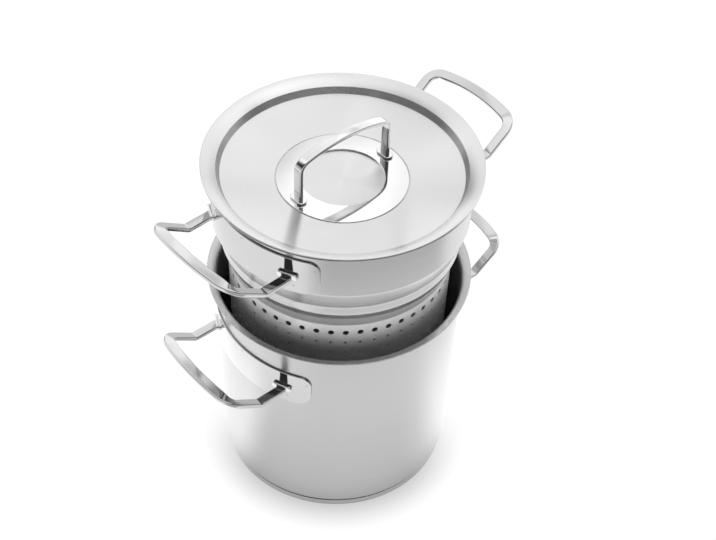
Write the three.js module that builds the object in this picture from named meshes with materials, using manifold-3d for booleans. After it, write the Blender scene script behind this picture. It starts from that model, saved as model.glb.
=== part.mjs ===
// Steel asparagus pot: a tall pot, a perforated strainer insert drawn up out of it, and a sunken lid.
// Millimetres, +Z up, the origin on the floor under the middle of the pot, side handles along X.

import * as THREE from 'three';
import { mergeVertices } from 'three/addons/utils/BufferGeometryUtils.js';
import Module from 'manifold-3d';

const wasm = await Module();
wasm.setup();

// Pot body
const potInnerRadius = 100;
const potHeight = 200;
const potSheet = 1;
const potCorner = 6;

// Pouring rim, the same on the pot and on the strainer
const rimReach = 6.6;
const rimBend = 5;
const rimSlope = 13;

// Base: an aluminium core sealed in a steel cap under the pot
const baseHeight = 7;
const baseInset = 2;
const capSheet = 0.8;
const capChamfer = 0.6;

// Strainer insert
const strainerSheet = 1;
const collarDepth = 46;
const neckInset = 5.3;
const neckHeight = 8.5;
const basketInset = 11;
const stepDrop = 14;
const basketCorner = 9;
const floorGap = 14;
const strainerRaise = 64.9;
const strainerTurn = 3;

// Strainer holes
const holesAround = 50;
const wallRows = 6;
const largeHole = 4.2;
const smallHole = 2.2;
const firstRowDrop = 10;
const rowPitch = 11.3;
const holePhase = 0.7;
const floorHole = 4;
const floorRings = 2;
const floorRingPitch = 27;
const floorHolesPerRing = 8;
const drillLength = 6;
const largeHoleSides = 6;
const smallHoleSides = 4;

// Lid
const lidSheet = 1;
const lidEdgeInset = 0.2;
const lidPlugClearance = 3.3;
const flangeRise = 5.5;
const flangeCrown = 0.7;
const lidStepRun = 3.7;
const lidStepDrop = 5.1;
const dishDrop = 8.6;
const dishSag = 1.5;
const lidTurn = 0.4;

// Ring plate on the lid
const ringOuterRadius = 51.2;
const ringInnerRadius = 32.5;
const ringThickness = 1.2;
const ringMargin = 1;

// Flat bar of every handle, with the pads that its ends are welded by
const barWidth = 8;
const barThickness = 3.6;
const barEdge = 0.9;
const footWidth = 15;
const footHeight = 13;
const footThickness = 2;
const footCorner = 1.5;

// Side handles
const plateHalfWidth = 64;
const plateHeight = 33;
const plateThickness = 1.2;
const plateTopCorner = 9;
const plateLowCorner = 14;
const potPlateDrop = 45;
const strainerPlateDrop = 27.5;
const legSpacing = 88.4;
const legLength = 11.4;
const foldAngle = 35.4;
const foldRadius = 5;
const loopReach = 37;
const loopCorner = 12;
const gripRadius = 160;
const barDrop = 2.5;

// Lid handle
const bowOutset = 1.1;
const bowHeight = 37.5;
const bowFootLength = 9;
const bowCorner = 9;

// Clearances
const seam = 0.3;
const strainerSeatGap = 1.2;
const lidSeatGap = 0.4;

// Roundness of turned pieces and of arcs in an outline
const turnedSides = 48;
const arcDivisions = 2;
const strainerArcDivisions = 1;

const steel = { metalness: 1, color: 0xc4c4c6 };
const brushedSteel = new THREE.MeshStandardMaterial({ ...steel, roughness: 0.35 });
const polishedSteel = new THREE.MeshStandardMaterial({ ...steel, color: 0xe4e4e6, roughness: 0.08 });
const aluminium = new THREE.MeshStandardMaterial({ ...steel, color: 0xb4b6b9, roughness: 0.5 });

const radians = THREE.MathUtils.degToRad;
const potOuterRadius = potInnerRadius + potSheet;
const strainerOuterRadius = potInnerRadius + strainerSheet;

// A closed solid for joining and cutting, from any closed geometry
function solid(geometry) {
  const bare = geometry.index ? geometry.toNonIndexed() : geometry.clone();
  bare.deleteAttribute('normal');
  bare.deleteAttribute('uv');
  const merged = mergeVertices(bare, 1e-4);
  const index = merged.index.array;
  const triVerts = [];
  for (let i = 0; i < index.length; i += 3) {
    const [a, b, c] = index.slice(i, i + 3);
    if (a !== b && b !== c && c !== a) triVerts.push(a, b, c);
  }
  return new wasm.Manifold(new wasm.Mesh({
    numProp: 3,
    vertProperties: new Float32Array(merged.attributes.position.array),
    triVerts: new Uint32Array(triVerts),
  }));
}

function geometryOf(body) {
  const mesh = body.getMesh();
  const geometry = new THREE.BufferGeometry();
  geometry.setAttribute('position', new THREE.BufferAttribute(new Float32Array(mesh.vertProperties), 3));
  geometry.setIndex(new THREE.BufferAttribute(new Uint32Array(mesh.triVerts), 1));
  geometry.computeVertexNormals();
  return geometry;
}

function piece(name, geometry, material) {
  const mesh = new THREE.Mesh(geometry, material);
  mesh.name = name;
  return mesh;
}

// Turns an outline of (radius, height) points round the Z axis
function turned(points, sides = turnedSides) {
  return new THREE.LatheGeometry(points, sides).rotateX(Math.PI / 2);
}

// Moves an outline sideways by one sheet thickness, to its left as it is walked
function offset(points, distance) {
  const normals = points.slice(1).map((p, i) => {
    const along = p.clone().sub(points[i]).normalize();
    return new THREE.Vector2(-along.y, along.x);
  });
  return points.map((p, i) => {
    const before = normals[Math.max(i - 1, 0)];
    const after = normals[Math.min(i, normals.length - 1)];
    const mitre = before.clone().add(after).normalize();
    return p.clone().addScaledVector(mitre, distance / mitre.dot(after));
  });
}

// Closed outline of a bent sheet whose underside or outside is given, walked from the axis to the edge
function sheetOutline(outside, thickness) {
  const inside = offset(outside, thickness).reverse();
  return [...outside, ...inside];
}

function closed(points) {
  return [...points, points[0].clone()];
}

// Height of an outline at a radius, where the outline reaches that radius
function heightAt(points, radius) {
  const k = points.findIndex((p, i) => i > 0
    && (points[i - 1].x - radius) * (p.x - radius) <= 0 && p.x !== points[i - 1].x);
  if (k < 0) return NaN;
  const [p, q] = [points[k - 1], points[k]];
  return p.y + (q.y - p.y) * (radius - p.x) / (q.x - p.x);
}

// How far the upper outline has to be raised to sit on the lower one with a gap
function seatHeight(upper, lower, gap) {
  const radii = [...upper, ...lower].map((p) => p.x);
  const rises = radii.map((r) => heightAt(lower, r) - heightAt(upper, r)).filter(Number.isFinite);
  return Math.max(...rises) + gap;
}

// Outside of the pouring rim, from the wall up and out to the lip, whose upper edge is at topHeight
function addRim(path, wallRadius, sheet, topHeight) {
  const slope = radians(rimSlope);
  const lipHeight = topHeight - sheet * Math.cos(slope);
  const bendRun = rimBend * (1 - Math.sin(slope));
  const bendHeight = lipHeight - (rimReach - bendRun) * Math.tan(slope) - rimBend * Math.cos(slope);
  path.absarc(wallRadius + rimBend, bendHeight, rimBend, Math.PI, Math.PI / 2 + slope, true);
  path.lineTo(wallRadius + rimReach, lipHeight);
}

// S-shaped widening of a wall, from a radius and height up and out
function addStep(path, radius, height, widening) {
  const turn = 2 * Math.atan(widening / stepDrop);
  const bend = stepDrop / (2 * Math.sin(turn));
  path.absarc(radius + bend, height, bend, Math.PI, Math.PI - turn, true);
  path.absarc(radius + widening - bend, height + stepDrop, bend, -turn, 0, false);
}

// Pot body
function potOutside() {
  const path = new THREE.Path();
  path.moveTo(0, baseHeight);
  path.lineTo(potOuterRadius - potCorner, baseHeight);
  path.absarc(potOuterRadius - potCorner, baseHeight + potCorner, potCorner, -Math.PI / 2, 0, false);
  addRim(path, potOuterRadius, potSheet, potHeight);
  return path.getPoints(arcDivisions);
}

const potSkin = potOutside();
const potInside = offset(potSkin, potSheet);
const potFloor = baseHeight + potSheet;

// Sealed base under the pot
function basePieces() {
  const outer = potOuterRadius - baseInset;
  const inner = outer - capSheet;
  const top = baseHeight - seam;
  const cap = [[0, 0], [outer - capChamfer, 0], [outer, capChamfer], [outer, top], [inner, top],
    [inner, capSheet], [0, capSheet]].map(([r, z]) => new THREE.Vector2(r, z));
  const core = [[0, capSheet + seam], [inner - seam, capSheet + seam], [inner - seam, top], [0, top]]
    .map(([r, z]) => new THREE.Vector2(r, z));
  return [piece('base_cap', turned(cap), brushedSteel), piece('base_core', turned(core), aluminium)];
}

// Strainer: heights are counted from the upper edge of its rim
function strainerOutside(bottom) {
  const neckRadius = strainerOuterRadius - neckInset;
  const basketRadius = strainerOuterRadius - basketInset;
  const collarFoot = -collarDepth;
  const neckFoot = collarFoot - stepDrop - neckHeight;
  const path = new THREE.Path();
  path.moveTo(0, bottom);
  path.lineTo(basketRadius - basketCorner, bottom);
  path.absarc(basketRadius - basketCorner, bottom + basketCorner, basketCorner, -Math.PI / 2, 0, false);
  addStep(path, basketRadius, neckFoot - stepDrop, neckRadius - basketRadius);
  addStep(path, neckRadius, collarFoot - stepDrop, neckInset);
  addRim(path, strainerOuterRadius, strainerSheet, 0);
  return path.getPoints(strainerArcDivisions);
}

// The shoulder under the collar rests on the bend of the pot's rim
const shoulderTop = -collarDepth;
const shoulderFoot = shoulderTop - stepDrop - neckHeight;
const shoulderSkin = strainerOutside(-potHeight).filter((p) => p.y <= shoulderTop && p.y > shoulderFoot);
const seatedHeight = seatHeight(shoulderSkin, potInside, strainerSeatGap);
const strainerHeight = seatedHeight + strainerRaise;
const strainerBottom = potFloor + floorGap - seatedHeight;
const strainerSkin = strainerOutside(strainerBottom);
const strainerInside = offset(strainerSkin, strainerSheet);

function strainerHoles() {
  const basketRadius = strainerOuterRadius - basketInset;
  const firstRow = -collarDepth - neckHeight - 2 * stepDrop - firstRowDrop;
  const pitch = 2 * Math.PI / holesAround;
  const drills = [];
  for (let row = 0; row < wallRows; row += 1) {
    const [width, sides] = row === 0 ? [largeHole, largeHoleSides] : [smallHole, smallHoleSides];
    const drill = new THREE.CylinderGeometry(width / 2, width / 2, drillLength, sides);
    drill.rotateZ(Math.PI / 2).translate(basketRadius, 0, firstRow - row * rowPitch);
    for (let i = 0; i < holesAround; i += 1) {
      drills.push(solid(drill.clone().rotateZ((i + 0.5) * pitch - Math.PI / 2)));
    }
  }
  for (let ring = 1; ring <= floorRings; ring += 1) {
    const count = ring * floorHolesPerRing;
    const drill = new THREE.CylinderGeometry(floorHole / 2, floorHole / 2, drillLength, smallHoleSides);
    drill.rotateX(Math.PI / 2).translate(ring * floorRingPitch, 0, strainerBottom);
    for (let i = 0; i < count; i += 1) {
      drills.push(solid(drill.clone().rotateZ(i * 2 * Math.PI / count)));
    }
  }
  return wasm.Manifold.union(drills);
}

function strainerShell() {
  const shell = solid(turned(sheetOutline(strainerSkin, strainerSheet), holesAround));
  return geometryOf(shell.subtract(strainerHoles())).rotateZ(radians(holePhase));
}

// Lid: heights are counted from the upper edge of its flange, and its top is walked from the middle out
const lidRadius = strainerOuterRadius + rimReach - lidEdgeInset;
const plugRadius = potInnerRadius - lidPlugClearance;
const dishRadius = plugRadius - lidStepRun;
const flatRadius = ringOuterRadius + ringMargin;
const dishEdge = -flangeRise - lidStepDrop;
const lidFlat = dishEdge - dishDrop;

function lidTop() {
  const path = new THREE.Path();
  path.moveTo(0, lidFlat);
  path.lineTo(flatRadius, lidFlat);
  const slopeMiddle = lidFlat + dishDrop / 2 - dishSag;
  path.quadraticCurveTo((flatRadius + dishRadius) / 2, slopeMiddle, dishRadius, dishEdge);
  path.lineTo(plugRadius, -flangeRise);
  path.quadraticCurveTo((plugRadius + lidRadius) / 2, -flangeRise / 2 + 2 * flangeCrown, lidRadius, 0);
  return path.getPoints(2 * arcDivisions);
}

const lidSkin = offset(lidTop(), -lidSheet);
const flangeSkin = lidSkin.filter((p) => p.x > plugRadius);
const lidHeight = strainerHeight + seatHeight(flangeSkin, strainerInside, lidSeatGap);

// Path of a flat bar: each station holds a point, the way across the bar and the way out of its flat face
class BarPath extends THREE.Curve {
  constructor(stations) {
    super();
    this.stations = stations;
  }

  getPoint(t) {
    return this.stations[Math.round(t * (this.stations.length - 1))].point.clone();
  }

  getSpacedPoints() {
    return this.stations.map((s) => s.point.clone());
  }

  computeFrenetFrames() {
    return {
      tangents: this.stations.map((s) => new THREE.Vector3().crossVectors(s.across, s.up)),
      normals: this.stations.map((s) => s.across),
      binormals: this.stations.map((s) => s.up),
    };
  }
}

function barGeometry(stations) {
  const [w, h] = [barWidth / 2, barThickness / 2];
  const section = new THREE.Shape([[w, -h + barEdge], [w, h - barEdge], [w - barEdge, h], [barEdge - w, h],
    [-w, h - barEdge], [-w, barEdge - h], [barEdge - w, -h], [w - barEdge, -h]]
    .map(([x, y]) => new THREE.Vector2(x, y)));
  const extrudePath = new BarPath(stations);
  return new THREE.ExtrudeGeometry(section, { steps: stations.length - 1, extrudePath });
}

// Direction of a path at each of its points, halfway between the two stretches that meet there
function headings(points) {
  return points.map((p, i) => points[Math.min(i + 1, points.length - 1)].clone()
    .sub(points[Math.max(i - 1, 0)]).normalize());
}

// Block with rounded corners, seen along +X: half width, low and high edge, corner radii
function facePrism(middle, halfWidth, low, high, topCorner, lowCorner, depth) {
  const [left, right] = [middle - halfWidth, middle + halfWidth];
  const outline = new THREE.Shape();
  outline.absarc(right - lowCorner, low + lowCorner, lowCorner, -Math.PI / 2, 0, false);
  outline.absarc(right - topCorner, high - topCorner, topCorner, 0, Math.PI / 2, false);
  outline.absarc(left + topCorner, high - topCorner, topCorner, Math.PI / 2, Math.PI, false);
  outline.absarc(left + lowCorner, low + lowCorner, lowCorner, Math.PI, 1.5 * Math.PI, false);
  const options = { depth, bevelEnabled: false, curveSegments: arcDivisions };
  const prism = new THREE.ExtrudeGeometry(outline, options);
  const [x, y, z] = [new THREE.Vector3(1, 0, 0), new THREE.Vector3(0, 1, 0), new THREE.Vector3(0, 0, 1)];
  return prism.applyMatrix4(new THREE.Matrix4().makeBasis(y, z, x));
}

// Part of a turned ring that lies inside a prism: a plate that follows the wall
function curvedPlate(innerRadius, thickness, prism, low, high, sides) {
  const outer = innerRadius + thickness;
  const ring = closed([[innerRadius, low - seam], [outer, low - seam], [outer, high + seam],
    [innerRadius, high + seam]].map(([r, z]) => new THREE.Vector2(r, z)));
  return geometryOf(solid(turned(ring, sides)).intersect(solid(prism)));
}

// Flat pattern of the side handle's bar, as (distance out from the axis, distance along the wall) points
function loopPattern(start, foldStart, foldEnd) {
  const leg = legSpacing / 2;
  const reach = foldEnd + loopReach;
  const spread = Math.asin((leg - loopCorner) / (gripRadius - loopCorner));
  const gripCentre = reach - gripRadius;
  const corner = gripCentre + (gripRadius - loopCorner) * Math.cos(spread);
  const path = new THREE.Path();
  path.moveTo(start, -leg);
  path.lineTo(foldStart, -leg);
  path.lineTo((foldStart + foldEnd) / 2, -leg);
  path.lineTo(foldEnd, -leg);
  path.absarc(corner, loopCorner - leg, loopCorner, -Math.PI / 2, -spread, false);
  path.absarc(gripCentre, 0, gripRadius, -spread, spread, false);
  path.absarc(corner, leg - loopCorner, loopCorner, spread, Math.PI / 2, false);
  path.lineTo(foldEnd, leg);
  path.lineTo((foldStart + foldEnd) / 2, leg);
  path.lineTo(foldStart, leg);
  path.lineTo(start, leg);
  return path.getPoints(arcDivisions);
}

// Bar of a side handle: level legs, then the whole loop folded up
function sideBar(footRadius, height, sides) {
  const start = Math.sqrt(footRadius ** 2 - (legSpacing / 2 + barWidth) ** 2) - footThickness;
  const foldStart = footRadius + legLength - foldRadius * Math.tan(radians(foldAngle) / 2);
  const foldEnd = foldStart + foldRadius * radians(foldAngle);
  const pattern = loopPattern(start, foldStart, foldEnd);
  const ways = headings(pattern);
  const stations = pattern.map((p, i) => {
    const turn = THREE.MathUtils.clamp((p.x - foldStart) / foldRadius, 0, radians(foldAngle));
    const past = p.x > foldEnd ? p.x - foldEnd : Math.min(p.x - foldStart, 0);
    const out = new THREE.Vector3(Math.cos(turn), 0, Math.sin(turn));
    const up = new THREE.Vector3(-Math.sin(turn), 0, Math.cos(turn));
    const point = new THREE.Vector3(foldStart, p.y, height + foldRadius)
      .addScaledVector(up, -foldRadius).addScaledVector(out, past);
    const across = out.clone().multiplyScalar(-ways[i].y).add(new THREE.Vector3(0, ways[i].x, 0));
    return { point, across, up };
  });
  const bore = new THREE.CylinderGeometry(footRadius, footRadius, plateHeight, sides)
    .rotateX(Math.PI / 2).translate(0, 0, height);
  return geometryOf(solid(barGeometry(stations)).subtract(solid(bore)));
}

// Side handle at +X of a wall: mirror plate, two foot pads and the bar
function sideHandle(owner, side, wallRadius, middle, sides) {
  const group = new THREE.Group();
  const [low, high] = [middle - plateHeight / 2, middle + plateHeight / 2];
  const plateRadius = wallRadius + seam;
  const padRadius = plateRadius + plateThickness + seam;
  const barRadius = padRadius + footThickness + seam;
  const depth = 2 * wallRadius;
  const plate = facePrism(0, plateHalfWidth, low, high, plateTopCorner, plateLowCorner, depth);
  group.add(piece(`${owner}_handle_plate_${side}`,
    curvedPlate(plateRadius, plateThickness, plate, low, high, sides), polishedSteel));
  const [padLow, padHigh] = [middle - footHeight / 2, middle + footHeight / 2];
  for (const way of [-1, 1]) {
    const end = (way > 0) === (side === 'right') ? 'back' : 'front';
    const pad = facePrism(
      way * legSpacing / 2, footWidth / 2, padLow, padHigh, footCorner, footCorner, depth);
    group.add(piece(`${owner}_handle_foot_${side}_${end}`,
      curvedPlate(padRadius, footThickness, pad, padLow, padHigh, sides), polishedSteel));
  }
  group.add(piece(`${owner}_handle_${side}`, sideBar(barRadius, middle - barDrop, sides), polishedSteel));
  group.rotation.z = side === 'right' ? 0 : Math.PI;
  return group;
}

// Bow handle of the lid, standing on two pads just outside the middle of the ring plate
function lidHandle(floor) {
  const group = new THREE.Group();
  const padTop = floor + footThickness;
  const start = padTop + seam;
  const top = floor + bowHeight - barThickness / 2;
  const half = (ringInnerRadius + ringOuterRadius) / 2 + bowOutset;
  const path = new THREE.Path();
  path.moveTo(-half, start);
  path.lineTo(-half, top - bowCorner);
  path.absarc(-half + bowCorner, top - bowCorner, bowCorner, Math.PI, Math.PI / 2, true);
  path.absarc(half - bowCorner, top - bowCorner, bowCorner, Math.PI / 2, 0, true);
  path.lineTo(half, start);
  const points = path.getPoints(arcDivisions);
  const ways = headings(points);
  const across = new THREE.Vector3(0, 1, 0);
  const stations = points.map((p, i) => ({
    point: new THREE.Vector3(p.x, 0, p.y),
    across,
    up: new THREE.Vector3(ways[i].x, 0, ways[i].y).cross(across),
  }));
  group.add(piece('lid_handle', barGeometry(stations), polishedSteel));
  for (const [way, side] of [[-1, 'left'], [1, 'right']]) {
    const pad = new THREE.BoxGeometry(bowFootLength, footWidth, footThickness)
      .translate(way * half, 0, floor + footThickness / 2);
    group.add(piece(`lid_handle_foot_${side}`, pad, polishedSteel));
  }
  return group;
}

function ringPlate(floor) {
  const top = floor + ringThickness;
  const outline = [[ringInnerRadius, floor], [ringOuterRadius, floor], [ringOuterRadius, top],
    [ringInnerRadius, top]].map(([r, z]) => new THREE.Vector2(r, z));
  return turned(closed(outline));
}

const pot = new THREE.Group();
pot.add(piece('pot_shell', turned(sheetOutline(potSkin, potSheet)), brushedSteel), ...basePieces());
const potPlateMiddle = potHeight - potPlateDrop;
for (const side of ['left', 'right']) {
  pot.add(sideHandle('pot', side, potOuterRadius, potPlateMiddle, turnedSides));
}

const strainer = new THREE.Group();
strainer.position.z = strainerHeight;
strainer.rotation.z = radians(strainerTurn);
strainer.add(piece('strainer_shell', strainerShell(), brushedSteel));
for (const side of ['left', 'right']) {
  strainer.add(sideHandle('strainer', side, strainerOuterRadius, -strainerPlateDrop, holesAround));
}

const lid = new THREE.Group();
lid.position.z = lidHeight;
lid.rotation.z = radians(lidTurn);
const ringFloor = lidFlat + seam;
lid.add(piece('lid_shell', turned(sheetOutline(lidSkin, lidSheet)), brushedSteel));
lid.add(piece('lid_ring', ringPlate(ringFloor), polishedSteel));
lid.add(lidHandle(ringFloor + ringThickness + seam));

const asparagusPot = new THREE.Group();
asparagusPot.add(pot, strainer, lid);

export default asparagusPot;
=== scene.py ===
"""Looks of a steel asparagus pot: smooth spun shells, folded flat-bar handles, brushed and polished steel."""
import math

import bmesh
import bpy
from mathutils import Matrix, Vector


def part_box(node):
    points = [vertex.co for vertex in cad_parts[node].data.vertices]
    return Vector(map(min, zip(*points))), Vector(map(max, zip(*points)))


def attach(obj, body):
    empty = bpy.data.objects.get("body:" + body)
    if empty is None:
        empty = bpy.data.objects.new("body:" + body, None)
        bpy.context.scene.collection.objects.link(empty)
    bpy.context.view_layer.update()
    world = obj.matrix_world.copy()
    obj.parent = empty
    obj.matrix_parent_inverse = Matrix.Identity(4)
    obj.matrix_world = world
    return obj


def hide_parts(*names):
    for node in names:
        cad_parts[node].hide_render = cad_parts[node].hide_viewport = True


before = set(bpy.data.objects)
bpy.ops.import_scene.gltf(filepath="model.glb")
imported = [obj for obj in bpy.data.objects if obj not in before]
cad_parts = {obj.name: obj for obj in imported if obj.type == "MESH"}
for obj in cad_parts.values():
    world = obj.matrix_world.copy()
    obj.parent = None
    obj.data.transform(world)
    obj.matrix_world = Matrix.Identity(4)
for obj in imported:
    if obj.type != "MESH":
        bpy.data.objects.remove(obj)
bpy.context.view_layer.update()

MM = 0.001

# Sizes shared with the solids, in millimetres
POT_INNER = 100
POT_TOP = 200
SHEET = 1
POT_CORNER = 6
RIM_REACH = 6.6
RIM_BEND = 5.5
RIM_SLOPE = 13
BASE_HEIGHT = 7
BASE_RADIUS = 99
CAP_SHEET = 0.8
CAP_CORNER = 1.4
CAP_LIP = 0.3
CAP_INSIDE = 0.6
COLLAR_DEPTH = 43.3
NECK_INSET = 5.3
NECK_HEIGHT = 7.4
BASKET_INSET = 11
SHOULDER_DROP = 17.8
SHOULDER_BEND = 8
BASKET_CORNER = 9
INSERT_TURN = 3
HOLES_AROUND = 50
HOLE_ROWS = 11
LARGE_HOLE = 4.8
SMALL_HOLE = 2.4
FIRST_ROW_DROP = 8.5
ROW_PITCH = 11.4
LID_RADIUS = 107.4
PLUG_RADIUS = 96.3
FLANGE_RISE = 5.5
FLANGE_CROWN = 0.7
LID_STEP_RUN = 2.4
LID_STEP_BEND = 0.7
LID_STEP_DROP = 5.5
DISH_DROP = 8.2
LID_TURN = 0.4
RING_OUTER = 51.2
RING_INNER = 32.5
RING_THICKNESS = 1.2
RING_GAP = 0.6
RING_EDGE = 0.5
RING_STAND = 0.4
INLAY_FLAT = 0.5
INLAY_CHAMFER = 0.2
BAR_WIDTH = 8
BAR_THICKNESS = 3.6
BAR_EDGE = 1.0
FOOT_WIDTH = 16.5
FOOT_HEIGHT = 5.6
FOOT_THICKNESS = 2
FOOT_CORNER = 2.2
FOOT_EDGE = 0.9
FOOT_STEP = 1.5
PLATE_HALF = 64
PLATE_HEIGHT = 33
PLATE_THICKNESS = 1.2
PLATE_TOP_CORNER = 9
PLATE_LOW_CORNER = 14
PLATE_EDGE = 0.5
PLATE_STEP = 2.5
WELD_RADIUS = 0.95
WELD_LIFT = 0.35
WELD_PROFILE = ((1.0, -0.1), (1.0, 0.0), (0.7, 0.7), (0.3, 1.0))
WELD_SPOTS = ((3.5, 13), (-64.4, 8.6), (64.4, 8.6), (-48.3, -9.8), (48.3, -9.8))
POT_PLATE_DROP = 45
INSERT_PLATE_DROP = 27.5
LEG = 44.2
LEG_LENGTH = 11.4
FOLD_ANGLE = math.radians(35.4)
FOLD_RADIUS = 5
LOOP_REACH = 37
LOOP_CORNER = 12
GRIP_RADIUS = 160
GRIP_WIDTH = 9.4
GRIP_TILT = math.radians(12)
BAR_DROP = 2.5
BOW_OUTSET = 1.1
BOW_HALF = (RING_INNER + RING_OUTER) / 2 + BOW_OUTSET
BOW_HEIGHT = 37.5
BOW_CORNER = 9
BOW_SLOPE = math.radians(16.5)
BOW_SINK = 0.5
BOW_FOOT = 9
BOW_FOOT_WIDTH = 15
BOW_FOOT_CORNER = 4
BOW_FOOT_EDGE = 0.7
SEAM = 0.3

# Fineness of the meshes
SIDES = 160
ARC_STEPS = 8
EDGE_STEPS = 4
SHARP_ANGLE = math.radians(38)

INSERT_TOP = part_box("strainer_shell")[1][2] / MM
INSERT_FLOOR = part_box("strainer_shell")[0][2] / MM
LID_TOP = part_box("lid_shell")[1][2] / MM
POT_WALL = POT_INNER + SHEET


def rounded(corners, steps=ARC_STEPS):
    """Path through (x, y, bend radius) corners, with each bend drawn as an arc."""
    path = []
    for i, (x, y, radius) in enumerate(corners):
        corner = Vector((x, y))
        if radius == 0:
            path.append(corner)
            continue
        back = (Vector(corners[i - 1][:2]) - corner).normalized()
        ahead = (Vector(corners[(i + 1) % len(corners)][:2]) - corner).normalized()
        half = back.angle(ahead) / 2
        centre = corner + (back + ahead).normalized() * radius / math.sin(half)
        start = corner + back * radius / math.tan(half) - centre
        sweep = start.angle_signed(corner + ahead * radius / math.tan(half) - centre)
        for k in range(steps + 1):
            path.append(centre + Matrix.Rotation(-sweep * k / steps, 2) @ start)
    return path


def offset(path, distance):
    """Path moved sideways, to its left as it is walked."""
    normals = []
    for p, q in zip(path, path[1:]):
        along = (q - p).normalized()
        normals.append(Vector((-along.y, along.x)))
    moved = []
    for i, p in enumerate(path):
        before = normals[max(i - 1, 0)]
        after = normals[min(i, len(normals) - 1)]
        mitre = (before + after).normalized()
        moved.append(p + mitre * distance / mitre.dot(after))
    return moved


def rolled_edge(outer, inner, steps=6):
    """Half-round edge that joins the two faces of a sheet."""
    centre = (outer + inner) / 2
    start = outer - centre
    turn = [Matrix.Rotation(math.pi * k / steps, 2) for k in range(1, steps)]
    return [centre + m @ start for m in turn]


def sheet_outline(outside):
    """Outline of a bent sheet, down the outside to its rolled edge and back along the inside."""
    inside = offset(outside, SHEET)
    return outside + rolled_edge(outside[-1], inside[-1]) + inside[::-1]


def rim_corners(wall, top):
    """Corners of the pouring rim's outside, from the wall to the lip."""
    slope = math.radians(RIM_SLOPE)
    lip = top - SHEET * math.cos(slope)
    knee = lip - RIM_REACH * math.tan(slope)
    return [(wall, knee, RIM_BEND), (wall + RIM_REACH, lip, 0)]


def shoulder_corners(inner, outer, foot):
    """Corners of a conical widening of the wall, from a radius and height up and out."""
    return [(inner, foot, SHOULDER_BEND), (outer, foot + SHOULDER_DROP, SHOULDER_BEND)]


class Body:
    """Points and faces of one mesh, gathered before the mesh is made. Millimetres."""

    def __init__(self):
        self.points = []
        self.faces = []

    def ring(self, radius, height, sides, phase=0.0):
        """Adds a ring of points, or one point where the ring shrinks to the axis."""
        first = len(self.points)
        count = sides if radius > 1e-6 else 1
        for i in range(count):
            a = phase + 2 * math.pi * i / sides
            self.points.append((radius * math.cos(a), radius * math.sin(a), height))
        return range(first, first + count)

    def bridge(self, low, high):
        """Adds the faces between two rings."""
        sides = max(len(low), len(high))
        for i in range(sides):
            j = (i + 1) % sides
            face = [low[i % len(low)], low[j % len(low)], high[j % len(high)], high[i % len(high)]]
            self.faces.append(list(dict.fromkeys(face)))

    def spin(self, outline, sides=SIDES, close=False, phase=0.0):
        """Turns an outline of (radius, height) points round the axis."""
        rings = [self.ring(p[0], p[1], sides, phase) for p in outline]
        if close:
            rings.append(rings[0])
        for low, high in zip(rings, rings[1:]):
            self.bridge(low, high)

    def loft(self, sections):
        """Joins closed sections with faces and caps the two ends."""
        loops = []
        for section in sections:
            first = len(self.points)
            self.points.extend(tuple(p) for p in section)
            loops.append(range(first, first + len(section)))
        for low, high in zip(loops, loops[1:]):
            self.bridge(low, high)
        self.faces.append(list(loops[0])[::-1])
        self.faces.append(list(loops[-1]))

    def piece(self, name, body, node, slot, finish, turn=0.0):
        """Makes the object, welded and smooth, and puts it in place of its CAD node."""
        mesh = bpy.data.meshes.new(name)
        spin = Matrix.Rotation(math.radians(turn), 3, "Z")
        mesh.from_pydata([spin @ Vector(p) * MM for p in self.points], [], self.faces)
        work = bmesh.new()
        work.from_mesh(mesh)
        bmesh.ops.remove_doubles(work, verts=work.verts, dist=1e-7)
        bmesh.ops.recalc_face_normals(work, faces=work.faces)
        for face in work.faces:
            face.smooth = True
        for edge in work.edges:
            edge.smooth = len(edge.link_faces) == 2 and edge.calc_face_angle() < SHARP_ANGLE
        work.to_mesh(mesh)
        work.free()
        mesh.materials.append(finish)
        made = bpy.data.objects.new(name, mesh)
        made.modifiers.new("flat faces", "WEIGHTED_NORMAL").keep_sharp = True
        bpy.context.scene.collection.objects.link(made)
        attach(made, body)
        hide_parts(node)


class Socket:
    """An output of a shader node. Arithmetic on it adds Math nodes."""

    def __init__(self, finish, output):
        self.finish = finish
        self.output = output

    def math(self, operation, *values):
        sockets = dict(enumerate(values))
        return self.finish.node("ShaderNodeMath", {"operation": operation}, sockets)["Value"]

    def __add__(self, other):
        return self.math("ADD", self, other)

    def __radd__(self, other):
        return self.math("ADD", other, self)

    def __sub__(self, other):
        return self.math("SUBTRACT", self, other)

    def __rsub__(self, other):
        return self.math("SUBTRACT", other, self)

    def __mul__(self, other):
        return self.math("MULTIPLY", self, other)

    def __rmul__(self, other):
        return self.math("MULTIPLY", other, self)

    def __truediv__(self, other):
        return self.math("DIVIDE", self, other)

    def root(self):
        return self.math("SQRT", self)

    def clamped(self):
        return self.math("MINIMUM", self.math("MAXIMUM", self, 0.0), 1.0)


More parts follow.
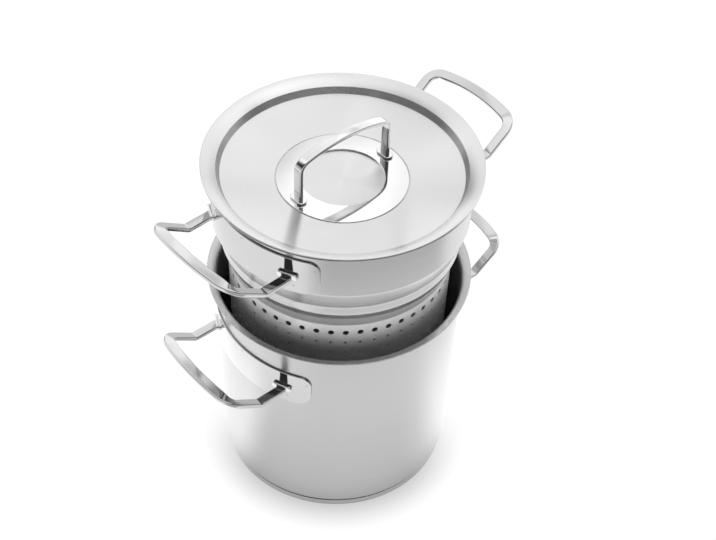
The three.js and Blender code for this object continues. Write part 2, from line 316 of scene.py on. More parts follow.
class Finish:
    """The node tree of a material or of the world."""

    def __init__(self, tree):
        self.tree = tree
        tree.nodes.clear()

    def node(self, kind, settings=None, sockets=None):
        """Adds a node: its settings first, then the values or links of its sockets. Returns its outputs."""
        made = self.tree.nodes.new(kind)
        for key, value in (settings or {}).items():
            setattr(made, key, value)
        for key, value in (sockets or {}).items():
            if isinstance(value, Socket):
                self.tree.links.new(value.output, made.inputs[key])
            else:
                made.inputs[key].default_value = value
        return {out.name: Socket(self, out) for out in made.outputs if out.enabled}

    def eased(self, value, low, high, at_low, at_high, interpolation="SMOOTHSTEP"):
        """A value carried from one range into another, eased at both ends."""
        sockets = {"Value": value, "From Min": low, "From Max": high, "To Min": at_low, "To Max": at_high}
        return self.node("ShaderNodeMapRange", {"interpolation_type": interpolation}, sockets)["Result"]

    def dot(self, vector, way):
        """How far a vector reaches along a direction."""
        return self.node("ShaderNodeVectorMath", {"operation": "DOT_PRODUCT"}, {0: vector, 1: way})["Value"]

    def grey(self, level):
        """A value as a neutral colour."""
        return self.node("ShaderNodeCombineColor", {}, {"Red": level, "Green": level, "Blue": level})["Color"]

    def place(self):
        """Object coordinates split into x, y and z."""
        point = self.node("ShaderNodeTexCoord")["Object"]
        axes = self.node("ShaderNodeSeparateXYZ", {}, {"Vector": point})
        return point, axes["X"], axes["Y"], axes["Z"]

    def noise(self, scale, detail, vector, w=None):
        settings = {"noise_dimensions": "3D" if w is None else "4D"}
        sockets = {"Vector": vector, "Scale": scale, "Detail": detail, "Roughness": 0.55}
        if w is not None:
            sockets["W"] = w
        return self.node("ShaderNodeTexNoise", settings, sockets)["Fac"]

    def reach(self, x, y):
        """Distance from the axis, never quite zero."""
        return (x * x + y * y + 1e-8).root()

    def lathe_lines(self, across, along):
        """Noise drawn out round the axis: fine lines across the turning, long along it."""
        _, x, y, z = self.place()
        radius = self.reach(x, y)
        around = self.node("ShaderNodeCombineXYZ", {},
                           {"X": x / radius * along, "Y": y / radius * along, "Z": z * across})["Vector"]
        return self.noise(1.0, 3.0, around, radius * across)


def material(name):
    made = bpy.data.materials.new(name)
    made.use_nodes = True
    return made, Finish(made.node_tree)


# Grain of the brushed sheets
FINE_LINES = 2600.0
BROAD_LINES = 420.0
FINE_DRAW = 5.0
BROAD_DRAW = 2.5
FINE_SHADE = 0.05
BROAD_SHADE = 0.035
LINE_ROUGHNESS = 0.6
CLOUD_SIZE = 22.0
CLOUD_SHADE = 0.02
GRAIN_BUMP = 0.04
GRAIN_DEPTH = 0.00003
ACROSS_THE_LINES = 0.25

# Insert's basket below a height: duller, with painted light in a raised base colour. Lid's turned step:
# painted shade in a darker base colour
PAINTED_BASKET_LIGHT = 0.31
DULL_ROUGHNESS = 0.1
DULL_HAZE = 0.1
PAINTED_LIGHT_ZONE = 236
BASKET_BLEND = 3
PAINTED_STEP_SHADE = 0.26
STEP_BLEND = 0.5

# Marks on the polished pieces
HAZE_SIZE = 60.0
HAZE_SHADE = 0.04
HAZE_ROUGHNESS = 0.05
HAZE_BUMP = 0.05
HAZE_DEPTH = 0.00002
MARK_SIZE = 900.0
MARK_ROUGHNESS = 0.02


def brushed_steel(name, level, roughness, stretch, haze=0.0, grain=1.0, painted_light_below=None, step=None):
    """Satin steel with fine lines round the axis, which draw its gloss out across them.

    Below a height, where one is given, the sheet is duller and carries painted light: its base colour is
    raised.
    On a turned step, between two radii where they are given, it carries painted shade: its base colour is
    darkened.
    """
    made, f = material(name)
    fine = f.lathe_lines(FINE_LINES, FINE_DRAW)
    broad = f.lathe_lines(BROAD_LINES, BROAD_DRAW)
    point, x, y, z = f.place()
    cloud = (f.noise(CLOUD_SIZE, 2.0, point) - 0.5) * CLOUD_SHADE
    lines = (fine - 0.5) * (FINE_SHADE * grain) + (broad - 0.5) * (BROAD_SHADE * grain)
    shade = level + lines + cloud
    rough = roughness + lines * LINE_ROUGHNESS + cloud
    metal = 1.0 - haze
    # Painted light: below the given height the base colour is raised, standing in for light the basket gets
    # deep in the pot; roughness and haze rise too, a duller finish
    if painted_light_below is not None:
        painted_light_and_dull = f.eased(z, (painted_light_below - BASKET_BLEND) * MM, (painted_light_below + BASKET_BLEND) * MM, 1.0, 0.0)
        shade = shade + painted_light_and_dull * PAINTED_BASKET_LIGHT
        rough = rough + painted_light_and_dull * DULL_ROUGHNESS
        metal = metal - painted_light_and_dull * DULL_HAZE
    # Painted shade: on the lid's turned step the base colour is darkened, standing in for the dark it mirrors
    if step is not None:
        radius = f.reach(x, y)
        dark = f.eased(radius, (step[0] - STEP_BLEND) * MM, step[0] * MM, 0.0, PAINTED_STEP_SHADE)
        shade = shade - dark * f.eased(radius, step[1] * MM, (step[1] + STEP_BLEND) * MM, 1.0, 0.0)
    bump = f.node("ShaderNodeBump", {},
                  {"Strength": GRAIN_BUMP * grain, "Distance": GRAIN_DEPTH, "Height": fine})["Normal"]
    surface = f.node("ShaderNodeBsdfPrincipled", {}, {
        "Base Color": f.grey(shade), "Metallic": metal, "Roughness": rough, "Normal": bump,
        "Anisotropic": stretch, "Anisotropic Rotation": ACROSS_THE_LINES})["BSDF"]
    f.node("ShaderNodeOutputMaterial", {}, {"Surface": surface})
    return made


def polished_steel(name, level, roughness):
    """Mirror steel with faint polishing marks and a little haze."""
    made, f = material(name)
    point = f.place()[0]
    haze = f.noise(HAZE_SIZE, 3.0, point)
    marks = f.noise(MARK_SIZE, 2.0, point)
    shade = level + (haze - 0.5) * HAZE_SHADE
    rough = roughness + (haze - 0.5) * HAZE_ROUGHNESS + (marks - 0.5) * MARK_ROUGHNESS
    bump = f.node("ShaderNodeBump", {},
                  {"Strength": HAZE_BUMP, "Distance": HAZE_DEPTH, "Height": haze})["Normal"]
    surface = f.node("ShaderNodeBsdfPrincipled", {}, {
        "Base Color": f.grey(shade), "Metallic": 1.0, "Roughness": rough, "Normal": bump})["BSDF"]
    f.node("ShaderNodeOutputMaterial", {}, {"Surface": surface})
    return made


# Radii of the lid's turned step, where its base colour carries painted shade
PAINTED_STEP_RADII = (PLUG_RADIUS - LID_STEP_RUN, PLUG_RADIUS)
# One steel set to a different level on each piece: the raised levels of the lid, ring, bow and feet are
# painted light
wall_finish = brushed_steel("brushed wall", 0.6, 0.24, 0.78, haze=0.04)
lid_finish = brushed_steel("brushed lid", 0.775, 0.27, 0.94, grain=0.15, step=PAINTED_STEP_RADII)
# The insert's basket carries painted light below its zone, a raised base colour, and a duller finish
insert_finish = brushed_steel("brushed insert", 0.66, 0.2, 0.75, haze=0.1, grain=1.4, painted_light_below=PAINTED_LIGHT_ZONE)
base_finish = brushed_steel("turned base", 0.68, 0.26, 0.6)
core_finish = brushed_steel("cast core", 0.62, 0.5, 0.0)
plate_finish = polished_steel("mirror plate", 0.62, 0.05)
ring_finish = polished_steel("mirror ring", 0.84, 0.05)
bow_finish = polished_steel("polished bow", 0.82, 0.07)
bar_finish = polished_steel("polished bar", 0.64, 0.07)
foot_finish = polished_steel("polished foot", 0.8, 0.06)


def pot_shell():
    floor = [(0, BASE_HEIGHT, 0), (POT_WALL, BASE_HEIGHT, POT_CORNER)]
    shell = Body()
    shell.spin(sheet_outline(rounded(floor + rim_corners(POT_WALL, POT_TOP))))
    shell.piece("pot_body", "pot", "pot_shell", "brushed_steel", wall_finish)


def base_cap():
    top = BASE_HEIGHT - SEAM
    inner = BASE_RADIUS - CAP_SHEET
    outside = [(0, 0, 0), (BASE_RADIUS, 0, CAP_CORNER), (BASE_RADIUS, top, CAP_LIP)]
    inside = [(inner, top, CAP_LIP), (inner, CAP_SHEET, CAP_INSIDE), (0, CAP_SHEET, 0)]
    cap = Body()
    cap.spin(rounded(outside + inside, EDGE_STEPS))
    cap.piece("base_cup", "pot", "base_cap", "brushed_steel", base_finish)


def round_section(width, thickness, edge, steps=3):
    """Outline of a flat bar with rounded edges, as (across, up) points."""
    w, h = width / 2, thickness / 2
    return rounded([(-w, -h, edge), (w, -h, edge), (w, h, edge), (-w, h, edge)], steps)


def arc(centre_x, centre_y, radius, start, end, steps):
    """Points on an arc, both ends included."""
    turns = [start + (end - start) * k / steps for k in range(steps + 1)]
    return [Vector((centre_x + radius * math.cos(a), centre_y + radius * math.sin(a))) for a in turns]


def straight(start, end, steps):
    return [start.lerp(end, k / steps) for k in range(steps + 1)]


def joined(*stretches):
    """One path from stretches that meet end to end."""
    path = list(stretches[0])
    for stretch in stretches[1:]:
        path.extend(stretch[1:])
    return path


def headings(path):
    """Direction of a path at each of its points."""
    last = len(path) - 1
    return [(path[min(i + 1, last)] - path[max(i - 1, 0)]).normalized() for i in range(len(path))]


def swept_bar(stations):
    """Flat bar along stations of (point, way across, way up)."""
    section = round_section(BAR_WIDTH, BAR_THICKNESS, BAR_EDGE)
    bar = Body()
    bar.loft([[point + across * s.x + up * s.y for s in section] for point, across, up in stations])
    return bar


def loop_pattern(start, fold_start, fold_end):
    """Flat pattern of a side handle, as (distance out, distance along the wall) points."""
    spread = math.asin((LEG - LOOP_CORNER) / (GRIP_RADIUS - LOOP_CORNER))
    grip_centre = fold_end + LOOP_REACH - GRIP_RADIUS
    corner = grip_centre + (GRIP_RADIUS - LOOP_CORNER) * math.cos(spread)
    leg = joined(straight(Vector((start, -LEG)), Vector((fold_start, -LEG)), 4),
                 straight(Vector((fold_start, -LEG)), Vector((fold_end, -LEG)), 6),
                 straight(Vector((fold_end, -LEG)), Vector((corner, -LEG)), 4),
                 arc(corner, LOOP_CORNER - LEG, LOOP_CORNER, -math.pi / 2, -spread, 12))
    grip = arc(grip_centre, 0, GRIP_RADIUS, -spread, spread, 28)
    back = [Vector((p.x, -p.y)) for p in reversed(leg)]
    return joined(leg, grip, back)


def smooth_share(share):
    """A share kept between 0 and 1, eased at both ends."""
    t = min(max(share, 0), 1)
    return t * t * (3 - 2 * t)


def side_bar(wall, height):
    """Bar of a side handle at +X: level legs, then the loop folded up, its grip turned back towards level."""
    foot = wall + PLATE_THICKNESS + FOOT_THICKNESS + 3 * SEAM
    start = math.sqrt(foot ** 2 - (LEG + BAR_WIDTH / 2) ** 2) - FOOT_THICKNESS
    fold_start = foot + LEG_LENGTH - FOLD_RADIUS * math.tan(FOLD_ANGLE / 2)
    fold_end = fold_start + FOLD_RADIUS * FOLD_ANGLE
    pattern = loop_pattern(start, fold_start, fold_end)
    stations = []
    for p, way in zip(pattern, headings(pattern)):
        turn = min(max((p.x - fold_start) / FOLD_RADIUS, 0), FOLD_ANGLE)
        past = p.x - fold_end if p.x > fold_end else min(p.x - fold_start, 0)
        out = Vector((math.cos(turn), 0, math.sin(turn)))
        up = Vector((-math.sin(turn), 0, math.cos(turn)))
        point = Vector((fold_start, p.y, height + FOLD_RADIUS)) - up * FOLD_RADIUS + out * past
        grip = smooth_share((LEG - abs(p.y)) / LOOP_CORNER)
        heading = out * way.x + Vector((0, way.y, 0))
        level = Matrix.Rotation((FOLD_ANGLE - GRIP_TILT) * grip, 3, heading)
        across = (Vector((0, way.x, 0)) - out * way.y) * (1 + (GRIP_WIDTH / BAR_WIDTH - 1) * grip)
        stations.append((point, level @ across, level @ up))
    return swept_bar(stations)


def pad_columns(half, low, high, low_corner, top_corner, step):
    """Columns of a rounded plate: (place along it, lower edge, upper edge)."""
    def bow(s, corner):
        reach = max(abs(s) - (half - corner), 0)
        return corner - math.sqrt(max(corner ** 2 - reach ** 2, 0))

    places = set()
    for corner in (low_corner, top_corner):
        for p in arc(half - corner, 0, corner, 0, math.pi / 2, ARC_STEPS):
            places.update((round(p.x, 4), round(-p.x, 4)))
    flat = half - max(low_corner, top_corner)
    count = max(2, int(2 * flat / step))
    places.update(round(-flat + 2 * flat * k / count, 4) for k in range(count + 1))
    return [(s, low + bow(s, low_corner), high - bow(s, top_corner)) for s in sorted(places)]


def rounded_top(outline, thickness, edge):
    """Loops of (lift, outline) that round a plate's upper edge."""
    loops = []
    for k in range(1, EDGE_STEPS + 1):
        a = math.pi / 2 * k / EDGE_STEPS
        loops.append((thickness - edge * (1 - math.sin(a)), inset(outline, edge * (1 - math.cos(a)))))
    return loops


def wrapped_pad(columns, inner, thickness, edge, middle=0.0):
    """Plate bent round the wall with rounded edges, its middle at an arc length."""
    lows = [Vector((s, low)) for s, low, _ in columns]
    highs = [Vector((s, high)) for s, _, high in columns]
    outline = lows + highs[::-1]
    loops = [(0.0, outline), (thickness - edge, outline)]
    loops += rounded_top(outline, thickness, edge)
    pad = Body()
    rings = []
    for lift, loop in loops:
        first = len(pad.points)
        for p in loop:
            a = (p.x + middle) / inner
            pad.points.append(((inner + lift) * math.cos(a), (inner + lift) * math.sin(a), p.y))
        rings.append(range(first, first + len(loop)))
    for low, high in zip(rings, rings[1:]):
        pad.bridge(low, high)
    last = len(outline) - 1
    for i in range(len(columns) - 1):
        top, under = rings[-1], rings[0]
        pad.faces.append([top[i], top[i + 1], top[last - i - 1], top[last - i]])
        pad.faces.append([under[i + 1], under[i], under[last - i], under[last - i - 1]])
    return pad


def inset(outline, distance):
    """Closed outline shrunk by a distance."""
    moved = []
    for i, p in enumerate(outline):
        before = (p - outline[i - 1]).normalized()
        after = (outline[(i + 1) % len(outline)] - p).normalized()
        along = (before + after).normalized()
        moved.append(p + Vector((-along.y, along.x)) * distance)
    return moved


def weld_spots(plate, inner, lift, middle):
    """Adds the small round weld marks that stand on a plate."""
    for along, high in WELD_SPOTS:
        sections = []
        for share, rise in WELD_PROFILE:
            loop = []
            for p in arc(along, middle + high, WELD_RADIUS * share, 0, 2 * math.pi, 12)[:-1]:
                reach = inner + lift + rise * WELD_LIFT
                loop.append((reach * math.cos(p.x / inner), reach * math.sin(p.x / inner), p.y))
            sections.append(loop)
        plate.loft(sections)


def side_handles(owner, wall, middle, turn):
    """Both side handles of the pot or of the insert: plate, two foot pads and the folded bar."""
    plate_radius = wall + SEAM
    pad_radius = plate_radius + PLATE_THICKNESS
    low, high = middle - PLATE_HEIGHT / 2, middle + PLATE_HEIGHT / 2
    half = plate_radius * math.asin(PLATE_HALF / (plate_radius + PLATE_THICKNESS))
    columns = pad_columns(half, low, high, PLATE_LOW_CORNER, PLATE_TOP_CORNER, PLATE_STEP)
    foot_columns = pad_columns(FOOT_WIDTH / 2, middle - FOOT_HEIGHT / 2, middle + FOOT_HEIGHT / 2,
                               FOOT_CORNER, FOOT_CORNER, FOOT_STEP)
    foot_place = pad_radius * math.asin(LEG / (pad_radius + FOOT_THICKNESS))
    for side, flip in (("right", 0), ("left", 180)):
        plate = wrapped_pad(columns, plate_radius, PLATE_THICKNESS, PLATE_EDGE)
        weld_spots(plate, plate_radius, PLATE_THICKNESS, middle)
        plate.piece(f"{owner}_plate_{side}", owner, f"{owner}_handle_plate_{side}", "polished_steel",
                    plate_finish, turn + flip)
        for way in (-1, 1):
            end = "back" if (way > 0) == (side == "right") else "front"
            pad = wrapped_pad(foot_columns, pad_radius, FOOT_THICKNESS + SEAM, FOOT_EDGE, way * foot_place)
            pad.piece(f"{owner}_foot_{side}_{end}", owner, f"{owner}_handle_foot_{side}_{end}",
                      "polished_steel", foot_finish, turn + flip)
        bar = side_bar(wall, middle - BAR_DROP)
        bar.piece(f"{owner}_grip_{side}", owner, f"{owner}_handle_{side}", "polished_steel", bar_finish,
                  turn + flip)


# Strainer insert
INSERT_SIDES = 4 * HOLES_AROUND
BASKET = POT_WALL - BASKET_INSET
NECK = POT_WALL - NECK_INSET
BASKET_TOP = INSERT_TOP - COLLAR_DEPTH - NECK_HEIGHT - 2 * SHOULDER_DROP
FIRST_ROW = BASKET_TOP - FIRST_ROW_DROP
ROWS_TOP = FIRST_ROW + ROW_PITCH / 2
ROWS_LOW = ROWS_TOP - HOLE_ROWS * ROW_PITCH
CELL_STEPS = 4
FLOOR_RINGS = ((8, 22, 10), (22, 36, 20), (36, 50, 20), (50, 64, 25), (64, 78, 40))
FLOOR_HOLE = 4


def drilled_cell(body, place, a0, a1, b0, b1, steps, hole, stretch):
    """One cell of a drilled sheet: both faces round the hole, and the wall of the hole.

    place(a, b, side) gives a point on the outer or inner face. stretch turns a step in a into millimetres.
    """
    across = [(a0 + (a1 - a0) * k / steps, b0) for k in range(steps)]
    up = [(a1, b0 + (b1 - b0) * k / CELL_STEPS) for k in range(CELL_STEPS)]
    back = [(a1 + (a0 - a1) * k / steps, b1) for k in range(steps)]
    down = [(a0, b1 + (b0 - b1) * k / CELL_STEPS) for k in range(CELL_STEPS)]
    border = across + up + back + down
    am, bm = (a0 + a1) / 2, (b0 + b1) / 2
    loops = []
    for side in (0, 1):
        for share in (0.0, 1.0):
            first = len(body.points)
            for a, b in border:
                way = Vector(((a - am) * stretch, b - bm))
                rim = way.normalized() * hole / 2
                spot = way.lerp(rim, share)
                body.points.append(place(am + spot.x / stretch, bm + spot.y, side))
            loops.append(range(first, first + len(border)))
    for low, high in ((0, 1), (1, 3), (3, 2)):
        body.bridge(loops[low], loops[high])


def strainer_shell():
    shell = Body()
    lower = rounded([(FLOOR_RINGS[-1][1], INSERT_FLOOR, 0), (BASKET, INSERT_FLOOR, BASKET_CORNER),
                     (BASKET, ROWS_LOW, 0)])
    neck_top = BASKET_TOP + SHOULDER_DROP + NECK_HEIGHT
    upper = rounded([(BASKET, ROWS_TOP, 0)] + shoulder_corners(BASKET, NECK, BASKET_TOP)
                    + shoulder_corners(NECK, POT_WALL, neck_top)
                    + rim_corners(POT_WALL, INSERT_TOP))
    phase = -math.pi / 2
    shell.spin(lower, INSERT_SIDES, phase=phase)
    shell.spin(offset(lower, SHEET), INSERT_SIDES, phase=phase)
    shell.spin(sheet_outline(upper), INSERT_SIDES, phase=phase)
    pitch = 2 * math.pi / HOLES_AROUND

    def on_basket(a, b, side):
        radius = BASKET - side * SHEET
        return (radius * math.cos(a), radius * math.sin(a), b)

    def on_floor(a, b, side):
        return (b * math.cos(a), b * math.sin(a), INSERT_FLOOR + side * SHEET)

    for row in range(HOLE_ROWS):
        hole = LARGE_HOLE if row == 0 else SMALL_HOLE
        top = ROWS_TOP - row * ROW_PITCH
        for i in range(HOLES_AROUND):
            a = phase + i * pitch
            drilled_cell(shell, on_basket, a, a + pitch, top - ROW_PITCH, top, CELL_STEPS, hole, BASKET)
    for inner, outer, count in FLOOR_RINGS:
        width = 2 * math.pi / count
        for i in range(count):
            a = phase + i * width
            drilled_cell(shell, on_floor, a, a + width, inner, outer, INSERT_SIDES // count, FLOOR_HOLE,
                         (inner + outer) / 2)
    for side in (0, 1):
        height = INSERT_FLOOR + side * SHEET
        shell.spin([(0, height), (FLOOR_RINGS[0][0], height)], INSERT_SIDES, phase=phase)
    shell.piece("strainer_basket", "strainer", "strainer_shell", "brushed_steel", insert_finish, INSERT_TURN)


# Lid
LID_FLAT = LID_TOP - FLANGE_RISE - LID_STEP_DROP - DISH_DROP
DISH_RADIUS = PLUG_RADIUS - LID_STEP_RUN
DISH_SAG = 1.5


def quadratic(start, control, end, steps):
    turns = [k / steps for k in range(steps + 1)]
    return [start.lerp(control, t).lerp(control.lerp(end, t), t) for t in turns]


def lid_shell():
    dish_edge = LID_TOP - FLANGE_RISE - LID_STEP_DROP
    gap_edge = RING_OUTER + RING_GAP
    flat_edge = gap_edge + INLAY_FLAT
    brim = LID_FLAT + SEAM + RING_THICKNESS - RING_STAND
    dish = quadratic(Vector((flat_edge, brim)),
                     Vector(((flat_edge + DISH_RADIUS) / 2, LID_FLAT + DISH_DROP / 2 - DISH_SAG)),
                     Vector((DISH_RADIUS, dish_edge)), 12)
    flange_low = LID_TOP - FLANGE_RISE
    crown = flange_low + FLANGE_RISE / 2 + 2 * FLANGE_CROWN
    flange = quadratic(Vector((PLUG_RADIUS, flange_low)), Vector(((PLUG_RADIUS + LID_RADIUS) / 2, crown)),
                       Vector((LID_RADIUS, LID_TOP)), 10)

    def bent(start, slope, bend):
        corners = start + [(p.x, p.y, 0) for p in slope]
        corners += [(DISH_RADIUS, dish_edge, bend), (PLUG_RADIUS, flange_low, bend)]
        return rounded(corners + [(p.x, p.y, 0) for p in flange[1:]])

    inlay = [(0, LID_FLAT, 0), (gap_edge, LID_FLAT, 0), (gap_edge, brim - INLAY_CHAMFER, 0),
             (gap_edge + INLAY_CHAMFER, brim, 0)]
    top = bent(inlay, dish[:-1], LID_STEP_BEND)
    under = offset(bent([(0, LID_FLAT, 0), (flat_edge, LID_FLAT, 0)], dish[2:-1], 2 * SHEET), -SHEET)
    shell = Body()
    shell.spin(under + rolled_edge(under[-1], top[-1]) + top[::-1])
    shell.piece("lid_dish", "lid", "lid_shell", "brushed_steel", lid_finish, LID_TURN)


def lid_ring():
    low = LID_FLAT + SEAM
    high = low + RING_THICKNESS
    ring = Body()
    outline = rounded([(RING_INNER, low, 0), (RING_OUTER, low, 0), (RING_OUTER, high, RING_EDGE),
                       (RING_INNER, high, RING_EDGE)], EDGE_STEPS)
    ring.spin(outline, close=True)
    ring.piece("lid_medallion", "lid", "lid_ring", "polished_steel", ring_finish, LID_TURN)


def lid_handle():
    floor = LID_FLAT + RING_THICKNESS + 2 * SEAM
    top = floor + BOW_HEIGHT - BAR_THICKNESS / 2
    foot = Vector((-BOW_HALF, floor + FOOT_THICKNESS - BOW_SINK))
    post = straight(foot, Vector((-BOW_HALF, top - BOW_CORNER)), 6)
    bend = arc(BOW_CORNER - BOW_HALF, top - BOW_CORNER, BOW_CORNER, math.pi, math.pi / 2 + BOW_SLOPE, 12)
    radius = -bend[-1].x / math.sin(BOW_SLOPE)
    middle = bend[-1].y - radius * math.cos(BOW_SLOPE)
    strap = arc(0, middle, radius, math.pi / 2 + BOW_SLOPE, math.pi / 2, 12)
    left = joined(post, bend, strap)
    path = joined(left, [Vector((-p.x, p.y)) for p in reversed(left)])
    across = Vector((0, 1, 0))
    stations = []
    for p, way in zip(path, headings(path)):
        stations.append((Vector((p.x, 0, p.y)), across, Vector((way.x, 0, way.y)).cross(across)))
    swept_bar(stations).piece("lid_bow", "lid", "lid_handle", "polished_steel", bow_finish, LID_TURN)
    for way, side in ((-1, "left"), (1, "right")):
        outline = round_section(BOW_FOOT, BOW_FOOT_WIDTH, BOW_FOOT_CORNER, ARC_STEPS)
        sections = [(0.0, outline), (FOOT_THICKNESS - BOW_FOOT_EDGE, outline)]
        sections += rounded_top(outline, FOOT_THICKNESS, BOW_FOOT_EDGE)
        pad = Body()
        place = way * BOW_HALF
        pad.loft([[(place + p.x, p.y, floor + lift - SEAM) for p in loop] for lift, loop in sections])
        pad.piece(f"lid_foot_{side}", "lid", f"lid_handle_foot_{side}", "polished_steel", foot_finish,
                  LID_TURN)


pot_shell()
base_cap()
side_handles("pot", POT_WALL, POT_TOP - POT_PLATE_DROP, 0)
strainer_shell()
side_handles("strainer", POT_WALL, INSERT_TOP - INSERT_PLATE_DROP, INSERT_TURN)
lid_shell()
lid_ring()
lid_handle()
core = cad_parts["base_core"]
core.data.materials.clear()
core.data.materials.append(core_finish)


# Camera at the photograph's place, focal length in pixels of the 716 wide frame
VIEW_TURN = math.radians(319.2)
FRAME_WIDTH = 716
FOCAL = 1260.66
CAMERA_DISTANCE = 727.61
CAMERA_HEIGHT = 933.1
CAMERA_YAW = math.radians(1.208)
CAMERA_PITCH = math.radians(45.447)
CAMERA_ROLL = math.radians(2.8647)


def photo_camera():
    side = Vector((math.cos(CAMERA_YAW), -math.sin(CAMERA_YAW), 0))
    level = Vector((math.sin(CAMERA_YAW), math.cos(CAMERA_YAW), 0))
    high = Vector((0, 0, 1))
    ahead = level * math.cos(CAMERA_PITCH) - high * math.sin(CAMERA_PITCH)
    up = level * math.sin(CAMERA_PITCH) + high * math.cos(CAMERA_PITCH)
    right = side * math.cos(CAMERA_ROLL) + up * math.sin(CAMERA_ROLL)
    top = up * math.cos(CAMERA_ROLL) - side * math.sin(CAMERA_ROLL)
    basis = Matrix((right, top, -ahead)).transposed().to_4x4()
    place = Matrix.Translation(Vector((0, -CAMERA_DISTANCE, CAMERA_HEIGHT)) * MM)
    data = bpy.data.cameras.new("photo camera")
    data.sensor_width = 36
    data.lens = FOCAL * data.sensor_width / FRAME_WIDTH
    camera = bpy.data.objects.new("photo camera", data)
    camera.matrix_world = Matrix.Rotation(VIEW_TURN, 4, "Z") @ place @ basis
    bpy.context.scene.collection.objects.link(camera)
    bpy.context.scene.camera = camera


def way_towards(turn):
    """Level direction, turned to the right of the camera as seen from it."""
    heading = VIEW_TURN + math.radians(turn)
    return (math.sin(heading), -math.cos(heading), 0)


# Floor: levels of its glow, painted shadow, shade and light, and the distances and turns that they fade
# between
FLOOR_SIZE = 6.0
FLOOR_SINK = 0.0002
FLOOR_GREY = 0.8
FLOOR_WHITE = 1.03
FLOOR_GAIN = 1.06
CONTACT_SHADE = 0.62
SIDE_SHADE = 0.99
CONTACT_TURN = (-0.2, 0.8)
CONTACT_REACH = 0.03
OPEN_SKY = (0.5, 1.0)
CONTACT_GLOOM = 0.24
GLOOM_DISTANCE = (0.1, 0.26)
GLOOM_TURN = (0.3, 0.75)
SHADED_FLOOR = 0.48
SHADED_DISTANCE = (0.27, 0.42)
SHADED_PLACE = 35
SHADED_TURN = (0.4, 0.75)
SIDE_FLOOR = 0.36
SIDE_PLACE = 9
SIDE_TURN = (0.2, 0.62)
SIDE_DISTANCE = (0.17, 0.28)
BACK_FLOOR = 0.05
FAR_BACK_FLOOR = -0.3
BACK_PLACE = -165
BACK_TURN = (0.15, 0.8)
BACK_DISTANCE = (0.3, 0.5)


def pale_floor():
    """White floor that glows for camera and mirror rays, with a painted soft contact shadow; in mirrors it
    also shows painted shade away from the pot towards the camera, and painted light and shade at its sides
    and behind it.
    """
    mesh = bpy.data.meshes.new("floor")
    h = FLOOR_SIZE / 2
    mesh.from_pydata([(-h, -h, 0), (h, -h, 0), (h, h, 0), (-h, h, 0)], [], [(0, 1, 2, 3)])
    made, f = material("pale floor")
    path = f.node("ShaderNodeLightPath")
    seen = (path["Is Camera Ray"] + path["Is Glossy Ray"] + path["Is Transmission Ray"]).clamped()
    open_sky = f.node("ShaderNodeAmbientOcclusion", {"samples": 12}, {"Distance": CONTACT_REACH})["AO"]
    point, x, y, _ = f.place()
    distance = (x * x + y * y + 1e-6).root()

    def facing(turn):
        return f.dot(point, way_towards(turn)) / distance

    # Painted contact shadow: the glow is lowered where the ambient-occlusion node finds the pot close, most
    # towards the camera
    contact = f.eased(facing(0), *CONTACT_TURN, SIDE_SHADE, CONTACT_SHADE)
    level = contact + (FLOOR_WHITE - contact) * f.eased(open_sky, *OPEN_SKY, 0.0, 1.0, "LINEAR")
    # Painted shade and painted light that only mirror rays see: darker far off and close in front, lighter at
    # the sides and just behind, darker far behind
    shade = f.eased(distance, *SHADED_DISTANCE, 0.0, 1.0 - SHADED_FLOOR)
    shade = shade * f.eased(facing(SHADED_PLACE), *SHADED_TURN, 0.0, 1.0)
    gloom = f.eased(distance, *GLOOM_DISTANCE, CONTACT_GLOOM, 0.0) * f.eased(facing(0), *GLOOM_TURN, 0.0, 1.0)
    beside = f.eased(facing(SIDE_PLACE), *SIDE_TURN, SIDE_FLOOR, 0.0)
    beside = beside * f.eased(distance, *SIDE_DISTANCE, 1.0, 0.0)
    behind = f.eased(facing(BACK_PLACE), *BACK_TURN, 0.0, 1.0)
    behind = behind * f.eased(distance, *BACK_DISTANCE, BACK_FLOOR, FAR_BACK_FLOOR)
    mirrored = (FLOOR_GAIN + beside + behind) * (1.0 - (shade + gloom))
    level = level * (1.0 + path["Is Glossy Ray"] * (mirrored - 1.0))
    matt = f.node("ShaderNodeBsdfDiffuse", {}, {"Color": (FLOOR_GREY, FLOOR_GREY, FLOOR_GREY, 1)})["BSDF"]
    glow = f.node("ShaderNodeEmission", {}, {"Color": f.grey(level)})["Emission"]
    both = f.node("ShaderNodeMixShader", {}, {"Fac": seen, 1: matt, 2: glow})["Shader"]
    f.node("ShaderNodeOutputMaterial", {}, {"Surface": both})
    mesh.materials.append(made)
    floor = bpy.data.objects.new("floor", mesh)
    floor.location.z = -FLOOR_SINK
    bpy.context.scene.collection.objects.link(floor)


# Studio: levels of light, and the heights and turns that they fade between
WALL_LIGHT = 1.08
LOW_LIGHT = 0.2
LOW_HEIGHTS = (0.25, 0.5)
LOW_TURN = (0.2, 0.6)
TOP_LIGHT = 0.22
TOP_HEIGHTS = (0.72, 0.86)
STRIP_LIGHT = 0.2
STRIP_LEAN = 0.2
STRIP_MIDDLE = 0.656
STRIP_SPREAD = (0.0003, 0.003)
STRIP_HEIGHTS = (0.25, 0.4)
STRIP_TURN = (0.6, 0.9)
PANEL_LIGHT = 0.35
PANEL_PLACE = 113
PANEL_TURN = (0.7, 0.95)
PANEL_HEIGHTS = (0.6, 0.8)
DIM_BAND = 0.3
BAND_LEAN = 0.25
BAND_TOP = (0.63, 0.66)
BAND_FOOT = (0.5, 0.56)
BAND_TURN = (0.95, 0.985)
DIM_UPPER = 0.36
UPPER_HEIGHTS = (0.72, 0.84)
UPPER_TURN = (0.3, 0.8)
DARK_SIDE = 0.96
DARK_TURN = (-0.3, 0.02)
DARK_TOPS = (0.72, 0.87)
DARK_TOP_PLACE = -45
DARK_TOP_TURN = (0.55, 0.9)
DARK_TOP_FADE = 0.07
HORIZON_SHARE = 0.55
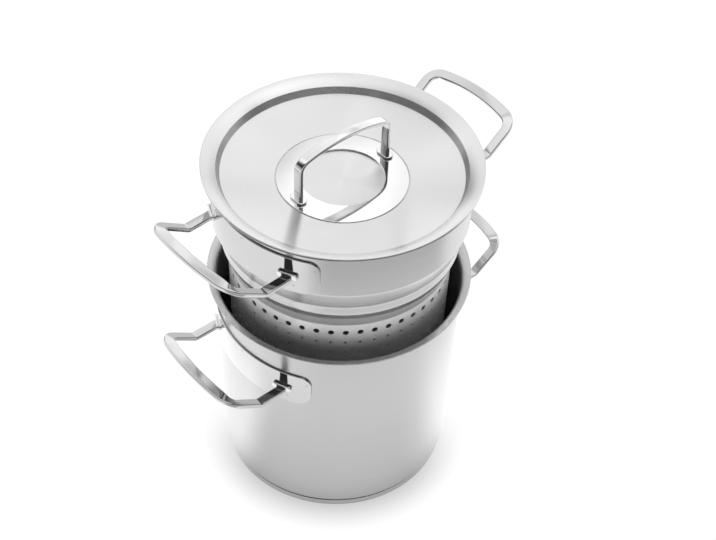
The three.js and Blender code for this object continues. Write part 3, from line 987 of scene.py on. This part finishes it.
HORIZON_HEIGHTS = (0.1, 0.3)
LEFT_GAP = 0.9
RIGHT_GAP = 0.5
GAP_PLACE = 142
GAP_TURN = (0.92, 0.98)
GAP_HEIGHTS = (0.22, 0.42)


def studio_world():
    """Bright studio: pale walls and ceiling, a strip lamp at the back, a dark side behind the camera.

    The camera itself sees plain white.
    """
    world = bpy.data.worlds.new("studio")
    world.use_nodes = True
    bpy.context.scene.world = world
    f = Finish(world.node_tree)
    way = f.node("ShaderNodeTexCoord")["Generated"]
    axes = f.node("ShaderNodeSeparateXYZ", {}, {"Vector": way})
    height = axes["Z"]
    level_part = (axes["X"] * axes["X"] + axes["Y"] * axes["Y"] + 1e-6).root()

    def facing(turn):
        return f.dot(way, way_towards(turn)) / level_part

    backward = facing(180)
    sideways = f.dot(way, way_towards(90))
    low = f.eased(height, *LOW_HEIGHTS, LOW_LIGHT, 0.0) * f.eased(backward, *LOW_TURN, 0.0, 1.0)
    overhead = f.eased(height, *TOP_HEIGHTS, 0.0, TOP_LIGHT)
    aside = sideways + (height - STRIP_MIDDLE) * STRIP_LEAN
    strip = f.eased(aside * aside, *STRIP_SPREAD, STRIP_LIGHT, 0.0)
    strip = strip * f.eased(height, *STRIP_HEIGHTS, 0.0, 1.0) * f.eased(backward, *STRIP_TURN, 0.0, 1.0)
    panel = f.eased(facing(PANEL_PLACE), *PANEL_TURN, 0.0, 1.0)
    panel = panel * f.eased(height, *PANEL_HEIGHTS, 0.0, PANEL_LIGHT)
    band = f.eased(height + sideways * BAND_LEAN, *BAND_TOP, DIM_BAND, 0.0)
    band = band * f.eased(height, *BAND_FOOT, 0.0, 1.0) * f.eased(backward, *BAND_TURN, 0.0, 1.0)
    upper = f.eased(height, *UPPER_HEIGHTS, 0.0, DIM_UPPER) * f.eased(backward, *UPPER_TURN, 0.0, 1.0)
    dark_top = f.eased(facing(DARK_TOP_PLACE), *DARK_TOP_TURN, *DARK_TOPS)
    dark = f.eased(facing(0), *DARK_TURN, 0.0, DARK_SIDE)
    dark = dark * f.eased(height - dark_top, -DARK_TOP_FADE, DARK_TOP_FADE, 1.0, 0.0)
    dark = dark * f.eased(height, *HORIZON_HEIGHTS, HORIZON_SHARE, 1.0)
    gap = f.eased(facing(-GAP_PLACE), *GAP_TURN, 0.0, LEFT_GAP)
    gap = gap + f.eased(facing(GAP_PLACE), *GAP_TURN, 0.0, RIGHT_GAP)
    gap = gap * f.eased(height, *GAP_HEIGHTS, 1.0, 0.0)
    level = (WALL_LIGHT + low + overhead + strip + panel - band - upper) * (1.0 - dark) * (1.0 - gap)
    camera_ray = f.node("ShaderNodeLightPath")["Is Camera Ray"]
    shown = f.grey(camera_ray + (1.0 - camera_ray) * level)
    back = f.node("ShaderNodeBackground", {}, {"Color": shown})["Background"]
    f.node("ShaderNodeOutputWorld", {}, {"Surface": back})


photo_camera()
pale_floor()
studio_world()
bpy.context.scene.view_settings.view_transform = "Standard"
